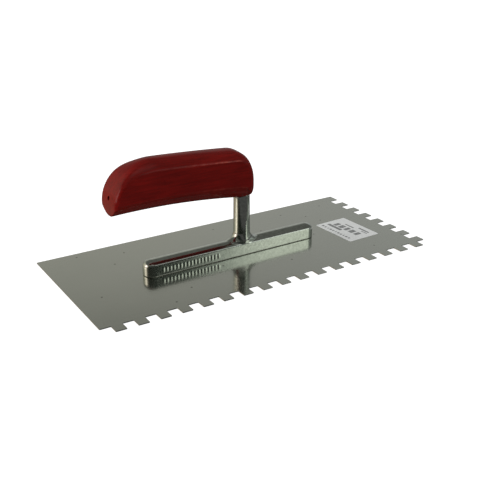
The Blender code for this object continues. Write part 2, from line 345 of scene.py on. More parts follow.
def rolled_steel(settings):
    """Cold rolled spring steel: a grey half mirror, faintly streaked along the sheet, with a few specks."""
    material, tree, shader = new_material("rolled_spring_steel", Metallic=1.0)
    place = add(tree, "TexCoord", out="Object")
    # Rolling streaks a fifth of a millimetre wide would not show, so these are drawn 1.2 mm wide.
    along = add(tree, "Mapping", {"Vector": place, "Scale": (0.03, 1, 1)})
    streaks = add(
        tree, "TexNoise", {"Vector": along, "Scale": 1 / (1.2 * MM), "Detail": 4.0, "Roughness": 0.6}
    )
    clouds = add(tree, "TexNoise", {"Vector": place, "Scale": 1 / (45 * MM), "Detail": 3.0})
    mixed = add(tree, "Math", {0: streaks, 1: clouds}, operation="ADD")
    gloss = add(
        tree, "MapRange",
        {"Value": mixed, "From Min": 0.7, "From Max": 1.3,
         "To Min": settings.roughness - 0.03, "To Max": settings.roughness + 0.03},
    )
    # Specks of dirt about a millimetre wide, one to every 45 mm of sheet.
    spots = add(tree, "TexVoronoi", {"Vector": place, "Scale": 1 / (45 * MM)}, voronoi_dimensions="2D")
    speck = add(
        tree, "MapRange",
        {"Value": spots, "From Min": 0.012, "From Max": 0.02, "To Min": 0.65, "To Max": 0.0},
    )
    tone = add(
        tree, "MapRange", {"Value": mixed, "From Min": 0.6, "From Max": 1.4, "To Min": 0.94, "To Max": 1.04}
    )
    steel = add(tree, "VectorMath", {0: tuple(settings.colour), "Scale": tone}, operation="SCALE")
    spotted = add(
        tree, "Mix", {0: speck, 6: steel, 7: (*colour(SPECK_COLOUR), 1)}, out=2, data_type="RGBA"
    )
    bump = add(tree, "Bump", {"Height": streaks, "Strength": 0.5, "Distance": 0.004 * MM})
    connect(tree, shader, Base_Color=spotted, Roughness=gloss, Normal=bump)
    return material


def cast_alloy(settings):
    """Die cast aluminium, tumbled bright: a mottled grey skin with fine dimples and a soft mirror."""
    material, tree, shader = new_material("die_cast_aluminium", Metallic=1.0)
    place = add(tree, "TexCoord", out="Object")
    # The skin of the mould: dimples about 2 mm across, and a 0.6 mm grain a third as deep over them.
    dimples = add(
        tree, "TexNoise", {"Vector": place, "Scale": 1 / (2.2 * MM), "Detail": 2.0, "Distortion": 0.6}
    )
    grain = add(tree, "TexNoise", {"Vector": place, "Scale": 1 / (0.6 * MM), "Detail": 3.0})
    fine = add(tree, "Math", {0: grain, 1: 0.35}, operation="MULTIPLY")
    skin = add(tree, "Math", {0: dimples, 1: fine}, operation="ADD")
    tone = add(
        tree, "MapRange", {"Value": skin, "From Min": 0.45, "From Max": 0.9, "To Min": 0.8, "To Max": 1.08}
    )
    shade = add(tree, "VectorMath", {0: tuple(settings.colour), "Scale": tone}, operation="SCALE")
    gloss = add(
        tree, "MapRange",
        {"Value": grain, "From Min": 0.3, "From Max": 0.7,
         "To Min": settings.roughness - 0.05, "To Max": settings.roughness + 0.07},
    )
    bump = add(tree, "Bump", {"Height": skin, "Strength": 0.8, "Distance": 0.011 * MM})
    connect(tree, shader, Base_Color=shade, Roughness=gloss, Normal=bump)
    return material


def drawn_steel(name, code, roughness):
    """Steel wire, headed and ground: grey, with fine scratches along X."""
    material, tree, shader = new_material(name, Metallic=1.0)
    place = add(tree, "TexCoord", out="Object")
    along = add(tree, "Mapping", {"Vector": place, "Scale": (0.1, 1, 1)})
    scratches = add(tree, "TexNoise", {"Vector": along, "Scale": 1 / (0.3 * MM), "Detail": 3.0})
    gloss = add(
        tree, "MapRange",
        {"Value": scratches, "From Min": 0.3, "From Max": 0.7,
         "To Min": roughness - 0.06, "To Max": roughness + 0.1},
    )
    tone = add(
        tree, "MapRange",
        {"Value": scratches, "From Min": 0.2, "From Max": 0.8, "To Min": 0.85, "To Max": 1.05},
    )
    shade = add(tree, "VectorMath", {0: colour(code), "Scale": tone}, operation="SCALE")
    bump = add(tree, "Bump", {"Height": scratches, "Strength": 0.6, "Distance": 0.01 * MM})
    connect(tree, shader, Base_Color=shade, Roughness=gloss, Normal=bump)
    return material


def red_lacquer(settings):
    """Shaped beech, stained dark red and lacquered: grain that just shows under an even soft gloss."""
    material, tree, shader = new_material(
        "red_lacquered_beech",
        Coat_Weight=0.44, Coat_Roughness=settings.gloss, IOR=1.5, Specular_IOR_Level=0.0,
    )
    place = add(tree, "TexCoord", out="Object")
    # Grain lines about 1.6 mm wide run the length of the handle.
    along = add(tree, "Mapping", {"Vector": place, "Scale": (0.06, 1, 1)})
    grain = add(
        tree, "TexNoise",
        {"Vector": along, "Scale": 1 / (1.6 * MM), "Detail": 5.0, "Roughness": 0.55, "Distortion": 0.3},
    )
    # The stain lies in clouds some 20 mm long. It is 6 parts grain to 4 parts clouds.
    drawn_out = add(tree, "Mapping", {"Vector": place, "Scale": (0.4, 1, 1)})
    clouds = add(tree, "TexNoise", {"Vector": drawn_out, "Scale": 1 / (9 * MM), "Detail": 3.0})
    cloud_part = add(tree, "Math", {0: clouds, 1: 0.4}, operation="MULTIPLY")
    share = add(tree, "Math", {0: grain, 1: 0.6, 2: cloud_part}, operation="MULTIPLY_ADD")
    spread = add(tree, "MapRange", {"Value": share, "From Min": 0.34, "From Max": 0.66})
    stain = add(
        tree, "Mix", {0: spread, 6: (*settings.grain_colour, 1), 7: (*settings.stain_colour, 1)},
        out=2, data_type="RGBA",
    )
    # Beech pores: flecks 0.5 mm wide and a few millimetres long.
    pore_run = add(tree, "Mapping", {"Vector": place, "Scale": (0.12, 1, 1)})
    pores = add(tree, "TexNoise", {"Vector": pore_run, "Scale": 1 / (0.5 * MM), "Detail": 2.0})
    fleck = add(
        tree, "MapRange", {"Value": pores, "From Min": 0.6, "From Max": 0.72, "To Min": 0.0, "To Max": 0.5}
    )
    flecked = add(
        tree, "Mix", {0: fleck, 6: stain, 7: (*colour(PORE_COLOUR), 1)}, out=2, data_type="RGBA"
    )
    # The lacquer is rubbed thin and pale along the crease of the crown, and the pale colour there is also a
    # painted highlight on the crease.
    rubbed_and_lit = add(tree, "Attribute", out="Fac", attribute_name="edge_wear_and_highlight")
    broken = add(tree, "TexNoise", {"Vector": place, "Scale": 1 / (4 * MM), "Detail": 3.0})
    patches = add(
        tree, "MapRange", {"Value": broken, "From Min": 0.4, "From Max": 0.62, "To Min": 0.1, "To Max": 0.8}
    )
    wear_and_highlight = add(tree, "Math", {0: rubbed_and_lit, 1: patches}, operation="MULTIPLY")
    worn_and_lit = add(
        tree, "Mix", {0: wear_and_highlight, 6: flecked, 7: (*settings.wear_and_highlight_colour, 1)}, out=2, data_type="RGBA"
    )
    gloss = add(
        tree, "MapRange", {"Value": clouds, "From Min": 0.3, "From Max": 0.7, "To Min": 0.38, "To Max": 0.5}
    )
    height = add(tree, "Math", {0: grain, 1: pores}, operation="ADD")
    bump = add(tree, "Bump", {"Height": height, "Strength": 0.5, "Distance": 0.05 * MM})
    # The lacquer's own skin: a faint orange peel, 3 mm across.
    peel = add(tree, "TexNoise", {"Vector": place, "Scale": 1 / (3 * MM), "Detail": 1.0})
    skin = add(tree, "Bump", {"Height": peel, "Strength": 0.5, "Distance": 0.05 * MM})
    connect(tree, shader, Base_Color=worn_and_lit, Roughness=gloss, Normal=bump, Coat_Normal=skin)
    return material


# The label's print, as blocks (across, along, half width, half length) in shares of its sides.
PRINT_BLOCKS = (
    [(-0.36, 0.40 - 0.075 * number, 0.035, 0.026 - 0.006 * (number % 3)) for number in range(11)]
    + [(0.02, 0.30 - 0.145 * number, 0.10, 0.045 + 0.01 * (number % 2)) for number in range(5)]
    + [(-0.16, 0.22, 0.05, 0.19), (0.22, 0.10, 0.025, 0.12), (0.33, -0.22, 0.03, 0.14),
       (0.24, -0.3, 0.02, 0.08)]
)


def printed_paper(settings, centre):
    """Coated label paper with a grey print of plain blocks and lines."""
    material, tree, shader = new_material("coated_label_paper", IOR=1.45)
    place = add(tree, "TexCoord", out="Object")
    local = add(
        tree, "Mapping",
        {"Vector": place, "Location": centre, "Rotation": (0, 0, settings.turn),
         "Scale": (settings.width, settings.length, 1)},
        vector_type="TEXTURE",
    )
    sides = add(tree, "SeparateXYZ", {0: local}).node.outputs
    ink = None
    for across, along, half_width, half_length in PRINT_BLOCKS:
        wide = add(tree, "Math", {0: sides[0], 1: across, 2: half_width}, operation="COMPARE")
        long = add(tree, "Math", {0: sides[1], 1: along, 2: half_length}, operation="COMPARE")
        block = add(tree, "Math", {0: wide, 1: long}, operation="MULTIPLY")
        ink = block if ink is None else add(tree, "Math", {0: ink, 1: block}, operation="MAXIMUM")
    # Ink lies thin and uneven on the paper's 0.2 mm tooth, drawn at 0.6 mm so that it shows.
    tooth = add(tree, "TexNoise", {"Vector": place, "Scale": 1 / (0.6 * MM), "Detail": 3.0})
    thin = add(
        tree, "MapRange", {"Value": tooth, "From Min": 0.3, "From Max": 0.7, "To Min": 0.55, "To Max": 1.0}
    )
    cover = add(tree, "Math", {0: ink, 1: thin}, operation="MULTIPLY")
    printed = add(
        tree, "Mix", {0: cover, 6: (*settings.paper_colour, 1), 7: (*settings.ink_colour, 1)},
        out=2, data_type="RGBA",
    )
    gloss = add(tree, "MapRange", {"Value": cover, "To Min": 0.42, "To Max": 0.3})
    bump = add(tree, "Bump", {"Height": tooth, "Strength": 0.3, "Distance": 0.02 * MM})
    connect(tree, shader, Base_Color=printed, Roughness=gloss, Normal=bump)
    return material


# Settings


def length_setting(name, description, default):
    """A length in metres."""
    return bpy.props.FloatProperty(name=name, description=description, default=default, unit="LENGTH")


def share_setting(name, description, default):
    """A share of one."""
    return bpy.props.FloatProperty(name=name, description=description, default=default, subtype="FACTOR")


def colour_setting(name, description, code):
    """A colour, from an sRGB hex code."""
    return bpy.props.FloatVectorProperty(
        name=name, description=description, default=colour(code), subtype="COLOR", size=3
    )


class BladeSettings(bpy.types.PropertyGroup):
    """The steel sheet."""

    corner: length_setting("Notch corner", "Radius of the punched corners", 0.45 * MM)
    edge: length_setting("Edge", "Width of the worn edge round the sheet", 0.1 * MM)
    colour: colour_setting("Steel", "Colour of the steel", "C3C4BC")
    roughness: share_setting("Roughness", "How much the half mirror blurs", 0.15)


class CastingSettings(bpy.types.PropertyGroup):
    """The foot and post."""

    detail: length_setting("Detail", "Size of the mesh that rounds the casting", 0.36 * MM)
    soften: bpy.props.IntProperty(
        name="Soften", description="How often the cast edges are smoothed", default=4, min=0
    )
    mark_rise: length_setting("Mark rise", "How far the cast marks stand out", 0.1 * MM)
    colour: colour_setting("Alloy", "Colour of the cast alloy", "CDD0C8")
    roughness: share_setting("Roughness", "How much the cast skin blurs", 0.11)


class HandleSettings(bpy.types.PropertyGroup):
    """The wooden handle."""

    crease: length_setting("Crease", "Rounding of the crown's edges", 0.9 * MM)
    stain_colour: colour_setting("Stain", "Colour of the stained wood", "760F0A")
    grain_colour: colour_setting("Grain", "Colour of the darker grain", "580A07")
    # The worn edge's colour is pale lacquer wear and also a painted highlight along the crease.
    wear_and_highlight_colour: colour_setting("Worn edge", "Colour where the lacquer is rubbed", "B04C3E")
    gloss: share_setting("Gloss blur", "Roughness of the lacquer", 0.18)


class LabelSettings(bpy.types.PropertyGroup):
    """The paper label."""

    turn: bpy.props.FloatProperty(
        name="Turn", description="Turn of the label on the blade", default=math.radians(2), subtype="ANGLE"
    )
    width: length_setting("Width", "Short side of the label", 30.5 * MM)
    length: length_setting("Length", "Long side of the label", 43.5 * MM)
    thickness: length_setting("Thickness", "Thickness of the paper", 0.15 * MM)
    corner: length_setting("Corner", "Radius of the label's corners", 1 * MM)
    paper_colour: colour_setting("Paper", "Colour of the paper", "DEE0DE")
    ink_colour: colour_setting("Ink", "Colour of the print", "4A4B4C")


class StageSettings(bpy.types.PropertyGroup):
    """The floor, the light and the camera."""

    floor_side: length_setting("Floor", "Side of the floor", 12.0)
    light: bpy.props.FloatProperty(
        name="Light", description="Strength of the soft light from the left", default=2.15
    )
    fill: bpy.props.FloatProperty(
        name="Fill", description="Strength of the plain light from all round", default=0.58
    )
    fill_tilt: bpy.props.FloatProperty(
        name="Fill tilt", description="How much stronger the plain light is from above", default=0.22
    )
    lens: bpy.props.FloatProperty(name="Lens", description="Focal length in millimetres", default=59.46)
    camera_place: bpy.props.FloatVectorProperty(
        name="Camera place", description="Where the camera stands", default=(-0.29759, -0.48111, 0.24690),
        subtype="TRANSLATION", unit="LENGTH", size=3,
    )
    camera_turn: bpy.props.FloatVectorProperty(
        name="Camera turn", description="How the camera is turned", subtype="EULER", size=3,
        default=(math.radians(67.3667), math.radians(0.1684), math.radians(-31.8863)),
    )


# Pieces


class TROWEL_OT_blade(bpy.types.Operator):
    """Makes the notched steel blade"""

    bl_idname = "trowel.blade"
    bl_label = "Blade"

    def execute(self, context):
        settings = context.scene.trowel_blade
        size = BLADE_HIGH - BLADE_LOW
        columns = round(size.x / NOTCH)
        rows = math.ceil(size.y / NOTCH)
        bm = bmesh.new()
        bmesh.ops.create_grid(bm, x_segments=columns, y_segments=rows, size=0.5)
        for vert in bm.verts:
            column = round((vert.co.x + 0.5) * columns)
            row = round((vert.co.y + 0.5) * rows)
            vert.co.x = BLADE_LOW.x + column * NOTCH
            vert.co.y = min(BLADE_LOW.y + row * NOTCH, BLADE_HIGH.y)
            vert.co.z = BLADE_HIGH.z
        punched = []
        for face in bm.faces:
            middle = face.calc_center_median()
            column = int((middle.x - BLADE_LOW.x) / NOTCH)
            row = int((middle.y - BLADE_LOW.y) / NOTCH)
            front = row == 0 and column % 2 == 0
            right = column == columns - 1 and row % 2 == 0 and row < rows - 1
            if front or right:
                punched.append(face)
        bmesh.ops.delete(bm, geom=punched, context="FACES")
        bmesh.ops.dissolve_limit(bm, angle_limit=FLAT_ANGLE, verts=bm.verts, edges=bm.edges)
        round_corners(bm, settings.corner, NOTCH_CORNER_STEPS)
        thicken(bm, -size.z)
        blade = new_object("trowel_blade", bm)
        for name in RIVETS:
            low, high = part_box(name)
            wide = (high.x - low.x) / 2 + COUNTERSINK_GAP
            cutter = turned(
                [(0, 2 * size.z), (BLADE_HOLE_RADIUS, 2 * size.z), (BLADE_HOLE_RADIUS, size.z), (wide, 0),
                 (wide, -size.z), (0, -size.z)],
                RIVET_STEPS,
            )
            bmesh.ops.translate(cutter, verts=cutter.verts, vec=((low.x + high.x) / 2, 0, 0))
            combine(blade, "DIFFERENCE", new_object("countersink", cutter))
        rim = blade.modifiers.new("worn edge", "BEVEL")
        rim.width = settings.edge
        rim.segments = BLADE_EDGE_STEPS
        rim.limit_method = "ANGLE"
        rim.angle_limit = BLADE_EDGE_ANGLE
        settle(blade)
        finish_piece(blade, "blade_steel", rolled_steel(settings), "blade")
        return {"FINISHED"}


def ease(distance, length, drop):
    """How far an elliptical end, length by drop, has fallen at a distance inside the end."""
    share = min(max(1 - distance / length, 0), 1)
    return drop * (1 - math.sqrt(max(1 - share**2, 0)))


def smooth_step(value, start, end):
    """A share that eases from 0 at the start to 1 at the end."""
    share = min(max((value - start) / (end - start), 0), 1)
    return share * share * (3 - 2 * share)


def bowed(line, x):
    """The height of the crest's or the belly's line at x."""
    offset = x - HANDLE_MIDDLE
    return line[0] + line[1] * offset + line[2] * offset**2


def handle_outline():
    """Round the handle: (rim point, cheek point, corner radius, creased) for each step, all in XZ."""
    cheek_left = HANDLE_LEFT + LEFT_CORNER
    cheek_right = HANDLE_RIGHT - RIGHT_CORNER
    steps = []
    for number in range(CREST_STEPS + 1):
        share = (1 - math.cos(math.pi * number / CREST_STEPS)) / 2
        x = HANDLE_LEFT + (HANDLE_RIGHT - HANDLE_LEFT) * share
        rim = bowed(CREST, x) - ease(x - HANDLE_LEFT, *LEFT_NOSE) - ease(HANDLE_RIGHT - x, *RIGHT_NOSE)
        inner = cheek_left + (cheek_right - cheek_left) * share
        cheek = bowed(CREST, inner) - CROWN_RISE
        left_drop = LEFT_NOSE[1] - CROWN_RISE - CHEEK_NOSE_LIFT
        cheek -= ease(inner - cheek_left, LEFT_NOSE[0] - LEFT_CORNER, left_drop)
        cheek -= ease(cheek_right - inner, RIGHT_NOSE[0] - RIGHT_CORNER, RIGHT_NOSE[1] - CROWN_RISE)
        creased = smooth_step(x, HANDLE_LEFT + CROWN_FADE_LEFT[0], HANDLE_LEFT + CROWN_FADE_LEFT[1])
        creased *= smooth_step(-x, *CROWN_FADE_RIGHT)
        corner = LEFT_CORNER if share < 0.5 else RIGHT_CORNER
        steps.append((Vector((x, rim)), Vector((inner, cheek)), corner, creased))
    for number in range(BELLY_STEPS + 1):
        share = (1 + math.cos(math.pi * number / BELLY_STEPS)) / 2
        x = HANDLE_LEFT + (HANDLE_RIGHT - HANDLE_LEFT) * share
        rim = bowed(BELLY, x) + ease(HANDLE_RIGHT - x, *RIGHT_CHIN) + ease(x - HANDLE_LEFT, *LEFT_CHIN)
        inner = cheek_left + (cheek_right - cheek_left) * share
        cheek = bowed(BELLY, inner) + BELLY_RISE + BELLY_RISE_SLOPE * (inner - BELLY_RISE_X)
        cheek += ease(cheek_right - inner, *CHEEK_CHIN)
        creased = smooth_step(-x, *BELLY_FADE_RIGHT)
        corner = LEFT_CORNER if share < 0.5 else RIGHT_CORNER
        steps.append((Vector((x, rim)), Vector((inner, cheek)), corner, creased))
    return steps


def section_point(share, corner, creased, depth, crown):
    """(half width, share of the way in from rim to cheek) at a share of the way along a section.

    Where it is creased, the section is an arc over the crown and a parabola under the belly. Where it
    isn't, it is flat with a round corner. Between them it is a blend of both.
    """
    if crown:
        swing = 2 * math.atan(depth / HANDLE_HALF)
        sharp_y = HANDLE_HALF * math.sin(swing * share) / math.sin(swing)
        sharp_in = (1 - math.cos(swing * share)) / (1 - math.cos(swing))
    else:
        sharp_y = HANDLE_HALF * share
        sharp_in = share**2
    turn = math.pi / 2 * max(share - CORNER_START, 0) / (1 - CORNER_START)
    round_y = (HANDLE_HALF - corner) * min(share / CORNER_START, 1) + corner * math.sin(turn)
    round_in = 1 - math.cos(turn)
    return Vector((sharp_y, sharp_in)) * creased + Vector((round_y, round_in)) * (1 - creased)


def handle_ring(outline, level, crease):
    """One loop round the handle: (x, y, z, wear and painted highlight) for each step, from mid-width at
    level 0 to the cheek.
    """
    arc = HANDLE_LEVELS - CREASE_LEVELS
    ring = []
    for rim, cheek, corner, creased in outline:
        crown = cheek.y < rim.y
        depth = (cheek - rim).length
        if level <= arc:
            place = section_point(CREASE_START * level / arc, corner, creased, depth, crown)
            wear_and_highlight = 0.0
        else:
            share = (level - arc) / CREASE_LEVELS
            edge = Vector((HANDLE_HALF, 1))
            inside = Vector((HANDLE_HALF, 1 + crease / depth))
            start = section_point(CREASE_START, corner, creased, depth, crown)
            place = start.lerp(edge, share).lerp(edge.lerp(inside, share), share)
            # Pale wear along the crease, which also stands in as a painted highlight there.
            wear_and_highlight = creased * (1 - abs(2 * share - 1)) * (1.0 if crown else BELLY_WEAR_AND_HIGHLIGHT)
            wear_and_highlight *= LEAST_WEAR_AND_HIGHLIGHT + (1 - LEAST_WEAR_AND_HIGHLIGHT) * smooth_step(rim.x, *WEAR_AND_HIGHLIGHT_FADE)
        round_out = min(max((place.x - (HANDLE_HALF - corner)) / corner, 0), 1)
        x = rim.x + (cheek.x - rim.x) * (1 - math.sqrt(1 - round_out**2))
        z = rim.y + (cheek.y - rim.y) * place.y
        ring.append((x, place.x, BLADE_TOP + z, wear_and_highlight))
    return ring


class TROWEL_OT_handle(bpy.types.Operator):
    """Makes the lacquered wooden handle"""

    bl_idname = "trowel.handle"
    bl_label = "Handle"

    def execute(self, context):
        settings = context.scene.trowel_handle
        outline = handle_outline()
        bm = bmesh.new()
        # How much of the pale wear and painted highlight each vertex takes.
        worn_and_lit = bm.verts.layers.float.new("edge_wear_and_highlight")
        before = None
        for level in range(-HANDLE_LEVELS, HANDLE_LEVELS + 1):
            side = -1 if level < 0 else 1
            points = handle_ring(outline, abs(level), settings.crease)
            ring, loop = add_ring(bm, [(x, side * y, z) for x, y, z, _ in points])
            for vert, (*_, wear_and_highlight) in zip(ring, points):
                vert[worn_and_lit] = wear_and_highlight
            if abs(level) == HANDLE_LEVELS:
                cheek = bmesh.ops.contextual_create(bm, geom=loop)["faces"]
                bmesh.ops.inset_region(bm, faces=cheek, thickness=CHEEK_INSET, use_even_offset=True)
            if before:
                bmesh.ops.bridge_loops(bm, edges=before + loop)
            before = loop
        handle = new_object("trowel_handle", bm)
        low = Vector((TENON_X, 0, BLADE_TOP + POST_TOP - SOCKET_ROOT))
        high = Vector((TENON_X, 0, BLADE_TOP + TENON_TOP + SOCKET_GAP))
        combine(handle, "DIFFERENCE", rod("socket", low, high, TENON_RADIUS + SOCKET_GAP))
        along = (PIN_TIP - PIN_HEAD).normalized()
        outside = PIN_HEAD - along * PIN_BORE_RUN_OUT
        inside = PIN_TIP + along * PIN_BORE_PAST_TIP
        combine(handle, "DIFFERENCE", rod("bore", outside, inside, PIN_BORE_RADIUS))
        shade_smooth(handle, 45)
        finish_piece(handle, "red_wood", red_lacquer(settings), "handle")
        return {"FINISHED"}


def foot_point(level, side, turn):
    """A point of the foot: its level, the end it belongs to, and its turn round that end."""
    corner = FOOT_TOP_CORNER + (FOOT_END_CORNER - FOOT_TOP_CORNER) * math.cos(turn)
    start = math.asin((FOOT_HALF - corner) / (CROWN_RADIUS - corner))
    if level <= CROWN_LEVELS:
        angle = start * (RIDGE_SHARE + (1 - RIDGE_SHARE) * level / CROWN_LEVELS)
        out, up = CROWN_RADIUS * math.sin(angle), CROWN_HEART + CROWN_RADIUS * math.cos(angle)
    elif level <= CROWN_LEVELS + CORNER_LEVELS:
        angle = start + (math.pi / 2 - start) * (level - CROWN_LEVELS) / CORNER_LEVELS
        centre = CROWN_HEART + math.sqrt((CROWN_RADIUS - corner) ** 2 - (FOOT_HALF - corner) ** 2)
        out, up = FOOT_HALF - corner + corner * math.sin(angle), centre + corner * math.cos(angle)
    else:
        out, up = FOOT_HALF, 0
    x = FOOT_MIDDLE + side * (FOOT_DRAW + out * math.cos(turn))
    return x, side * out * math.sin(turn), BLADE_TOP + up + FOOT_LIFT


class TROWEL_OT_casting(bpy.types.Operator):
    """Makes the cast foot and post, with the tenon that holds the handle. The handle comes first"""

    bl_idname = "trowel.casting"
    bl_label = "Casting"

    def foot(self):
        """A stadium with a crowned top, its corner crisp along the sides and well rounded at the ends."""
        turns = [math.pi * (number / FOOT_END_STEPS - 0.5) for number in range(FOOT_END_STEPS + 1)]
        bottom = CROWN_LEVELS + CORNER_LEVELS + 1
        bm = bmesh.new()
        before = None
        for level in range(bottom + 1):
            points = [foot_point(level, side, turn) for side in (1, -1) for turn in turns]
            _, loop = add_ring(bm, points)
            if level in (0, bottom):
                bmesh.ops.contextual_create(bm, geom=loop)
            if before:
                bmesh.ops.bridge_loops(bm, edges=before + loop)
            before = loop
        return new_object("trowel_casting", bm)

    def post(self):
        """The column, with a fillet that runs out along the foot but hardly towards its sides."""
        start = FOOT_SIDE + FOOT_CROWN + POST_FILLET
        rim = POST_FOOT_RADIUS + POST_FILLET
        root = FOOT_SIDE / 2
        profile = [(0, POST_TOP), (POST_TOP_RADIUS, POST_TOP), (POST_FOOT_RADIUS, start)]
        for number in range(1, POST_FILLET_STEPS + 1):
            angle = math.radians(90 / POST_FILLET_STEPS * number)
            profile.append((rim - POST_FILLET * math.cos(angle), start - POST_FILLET * math.sin(angle)))
        profile += [(rim, root), (0, root)]
        bm = turned(profile, POST_STEPS)
        for vert in bm.verts:
            radius = math.hypot(vert.co.x, vert.co.y)
            past = radius - POST_FOOT_RADIUS
            if past > 0:
                vert.co.y *= (POST_FOOT_RADIUS + past * POST_FILLET_SIDE_SHARE) / radius
        bmesh.ops.translate(bm, verts=bm.verts, vec=(POST_X, 0, BLADE_TOP))
        return new_object("post", bm)

    def marks(self, rise):
        """A row of plain raised bars, all alike, on the foot's front face."""
        size = Matrix.Diagonal((MARK_WIDTH, 2 * rise, MARK_HEIGHT, 1))
        bm = bmesh.new()
        for number in range(MARK_COUNT):
            x = FOOT_LEFT + MARK_START + MARK_PITCH * number
            place = Matrix.Translation((x, -FOOT_HALF, BLADE_TOP + MARK_LEVEL))
            bmesh.ops.create_cube(bm, size=1, matrix=place @ size)
        return new_object("marks", bm)

    def execute(self, context):
        settings = context.scene.trowel_casting
        casting = self.foot()
        combine(casting, "UNION", self.post())
        combine(casting, "UNION", self.marks(settings.mark_rise))
        low = Vector((TENON_X, 0, BLADE_TOP + POST_TOP - TENON_ROOT))
        high = Vector((TENON_X, 0, BLADE_TOP + TENON_TOP))
        combine(casting, "UNION", rod("tenon", low, high, TENON_RADIUS))
        combine(casting, "DIFFERENCE", bpy.data.objects["trowel_handle"], keep=True)
        for name in RIVETS:
            low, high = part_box(name)
            x = (low.x + high.x) / 2
            top = Vector((x, 0, high.z + SOCKET_GAP))
            combine(casting, "DIFFERENCE", rod("hole", Vector((x, 0, 0)), top, CASTING_HOLE_RADIUS))
        skin = casting.modifiers.new("cast skin", "REMESH")
        skin.mode = "VOXEL"
        skin.voxel_size = settings.detail
        soft = casting.modifiers.new("cast edges", "SMOOTH")
        soft.factor = 0.5
        soft.iterations = settings.soften
        settle(casting)
        casting.data.shade_smooth()
        finish_piece(casting, "cast_alloy", cast_alloy(settings), "mounting")
        return {"FINISHED"}


class TROWEL_OT_pin(bpy.types.Operator):
    """Makes the steel pin that holds the handle on the tenon"""

    bl_idname = "trowel.pin"
    bl_label = "Pin"

    def execute(self, context):
        length = (PIN_TIP - PIN_HEAD).length
        profile = [
            (0, 0), (PIN_HEAD_FACE, PIN_HEAD_ROUND[0]), (PIN_RADIUS, PIN_HEAD_ROUND[1]),
            (PIN_RADIUS, length - PIN_POINT), (PIN_POINT_RADIUS, length), (0, length),
        ]
        bm = turned(profile, PIN_STEPS)
        turn = (PIN_TIP - PIN_HEAD).to_track_quat("Z", "Y").to_matrix().to_4x4()
        bmesh.ops.transform(bm, matrix=Matrix.Translation(PIN_HEAD) @ turn, verts=bm.verts)
        pin = new_object("trowel_pin", bm)
        shade_smooth(pin, 40)
        finish_piece(pin, "rivet_steel", drawn_steel("dull_wire_steel", "8A8A86", 0.45), "handle_pin")
        return {"FINISHED"}


class TROWEL_OT_rivets(bpy.types.Operator):
    """Makes the countersunk rivets that hold the casting to the blade"""

    bl_idname = "trowel.rivets"
    bl_label = "Rivets"

    def execute(self, context):
        material = drawn_steel("ground_rivet_steel", "B4B5B0", 0.3)
        for number, name in enumerate(RIVETS, 1):
            low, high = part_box(name)
            head = (high.x - low.x) / 2
            profile = [
                (0, low.z), (head - RIVET_HEAD_EDGE[0], low.z), (head, low.z + RIVET_HEAD_EDGE[1]),
                (RIVET_RADIUS, BLADE_TOP), (RIVET_RADIUS, high.z - RIVET_TIP), (RIVET_TIP_RADIUS, high.z),
                (0, high.z),
            ]
            bm = turned(profile, RIVET_STEPS)
            bmesh.ops.translate(bm, verts=bm.verts, vec=((low.x + high.x) / 2, 0, 0))
            rivet = new_object(f"trowel_rivet_{number}", bm)
            shade_smooth(rivet, 30)
            finish_piece(rivet, "rivet_steel", material, name)
        return {"FINISHED"}


class TROWEL_OT_label(bpy.types.Operator):
    """Makes the printed paper label"""

    bl_idname = "trowel.label"
    bl_label = "Label"

    def execute(self, context):
        settings = context.scene.trowel_label
        low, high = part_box("label")
        middle = (low + high) / 2
        centre = Vector((middle.x, middle.y, BLADE_TOP + LABEL_LIFT))
        bm = bmesh.new()
        bmesh.ops.create_grid(bm, x_segments=1, y_segments=1, size=0.5)
        bmesh.ops.scale(bm, verts=bm.verts, vec=(settings.width, settings.length, 1))
        round_corners(bm, settings.corner, LABEL_CORNER_STEPS)
        thicken(bm, settings.thickness)
        place = Matrix.Translation(centre) @ Matrix.Rotation(settings.turn, 4, "Z")
        bmesh.ops.transform(bm, matrix=place, verts=bm.verts)
        label = new_object("trowel_label", bm)
        finish_piece(label, "label_paper", printed_paper(settings, centre), "label")
        return {"FINISHED"}


# Stage

# What the metal mirrors: (azimuth in degrees from -Y towards +X, red, green, blue) round the room.
ROOM = [
    (-180, 0.38, 0.385, 0.35), (-170, 0.36, 0.36, 0.32), (-150, 0.55, 0.55, 0.44), (-138, 0.7, 0.66, 0.56),
    (-127, 1.0, 0.92, 0.8), (-114, 2.45, 2.18, 1.95), (-103, 2.45, 2.18, 1.95), (-92, 0.7, 0.6, 0.53),
    (-80, 0.08, 0.08, 0.06), (-62, 0.01, 0.015, 0.01), (-30, 0.012, 0.016, 0.012), (5, 0.03, 0.04, 0.035),
    (26, 0.02, 0.03, 0.025), (28.8, 0.08, 0.1, 0.09), (30.7, 0.9, 1.0, 0.95), (33, 1.55, 1.65, 1.55),
    (39, 1.4, 1.5, 1.4), (44, 0.36, 0.4, 0.38), (60, 0.36, 0.4, 0.38), (78, 0.22, 0.24, 0.23),
    (108, 0.12, 0.13, 0.12), (122, 0.40, 0.42, 0.42), (142, 0.42, 0.43, 0.415), (156, 0.44, 0.445, 0.41),
    (168, 0.43, 0.435, 0.395), (180, 0.38, 0.385, 0.35),
]
# Below the floor's line: dim, but for a warm glow on the left and a plain one on the right.
FLOOR_GLOW = [
    (-180, 0.10, 0.10, 0.10), (-165, 0.42, 0.35, 0.26), (-130, 0.42, 0.35, 0.26), (-110, 0.08, 0.08, 0.08),
    (100, 0.08, 0.08, 0.08), (130, 0.3, 0.3, 0.3), (170, 0.3, 0.3, 0.3), (180, 0.10, 0.10, 0.10),
]
BRIGHTEST = max(max(shade) for _, *shade in ROOM)
# The ceiling: dim all over, but for a soft light straight overhead.
CEILING = (0.115, 0.12, 0.11)
OVERHEAD = (0.5, 0.5, 0.48)
